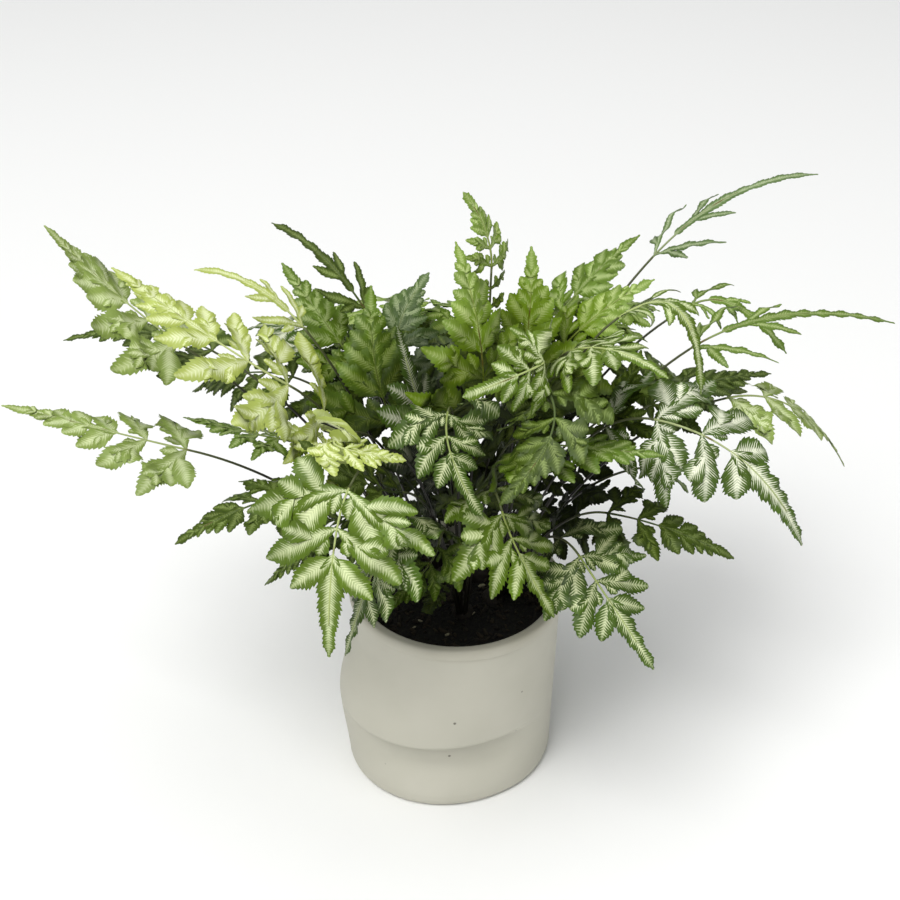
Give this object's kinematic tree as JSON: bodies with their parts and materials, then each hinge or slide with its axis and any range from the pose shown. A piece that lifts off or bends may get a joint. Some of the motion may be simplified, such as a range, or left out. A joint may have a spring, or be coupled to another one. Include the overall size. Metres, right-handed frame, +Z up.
{
  "type": "potted variegated brake fern",
  "caption": "Bushy variegated brake fern with wiry dark stalks and cut, silver-feathered fronds, growing from soil in a small off-white round pot.",
  "frame": {"origin": "centre of the pot's flat foot, on the plane the pot stands on", "axes": "+Z up along the pot's axis; -Y towards the viewer, the way the pot's recessed side faces; +X to the viewer's right"},
  "size_m": [0.4112, 0.2518, 0.2842],
  "materials": {
    "pot": "matte",
    "soil": "matte",
    "stalk": "satin",
    "leaf_silver": "satin",
    "leaf_edged": "satin",
    "leaf_mid": "satin",
    "leaf_deep": "satin",
    "leaf_grey": "satin",
    "leaf_bright": "satin",
    "leaf_gold": "satin"
  },
  "bodies": {
    "root": {"crown_1": "stalk", "crown_2": "stalk", "crown_3": "stalk", "crown_4": "stalk", "crown_5": "stalk", "crown_6": "stalk", "frond_01": "leaf_silver", "frond_02": "leaf_silver", "frond_03": "leaf_edged", "frond_04": "leaf_edged", "frond_05": "leaf_mid", "frond_06": "leaf_grey", "frond_07": "leaf_gold", "frond_08": "leaf_deep", "frond_09": "leaf_deep", "frond_10": "leaf_gold", "frond_11": "leaf_mid", "frond_12": "leaf_deep", "frond_13": "leaf_deep", "frond_14": "leaf_edged", "frond_15": "leaf_gold", "frond_16": "leaf_gold", "frond_17": "leaf_mid", "frond_18": "leaf_grey", "frond_19": "leaf_mid", "frond_20": "leaf_edged", "frond_21": "leaf_bright", "frond_22": "leaf_bright", "frond_23": "leaf_bright", "frond_24": "leaf_bright", "frond_25": "leaf_mid", "frond_26": "leaf_silver", "frond_27": "leaf_silver", "frond_28": "leaf_silver", "frond_29": "leaf_mid", "frond_30": "leaf_mid", "frond_31": "leaf_silver", "frond_32": "leaf_deep", "frond_33": "leaf_mid", "frond_34": "leaf_mid", "frond_35": "leaf_deep", "frond_36": "leaf_mid", "frond_37": "leaf_bright", "frond_38": "leaf_silver", "frond_39": "leaf_edged", "frond_40": "leaf_mid", "frond_41": "leaf_deep", "frond_42": "leaf_deep", "frond_43": "leaf_deep", "frond_44": "leaf_deep", "frond_45": "leaf_deep", "frond_46": "leaf_bright", "frond_47": "leaf_mid", "frond_48": "leaf_mid", "frond_49": "leaf_bright", "frond_50": "leaf_bright", "frond_51": "leaf_edged", "frond_52": "leaf_deep", "pot": "pot", "soil": "soil"}
  },
  "joints": []
}
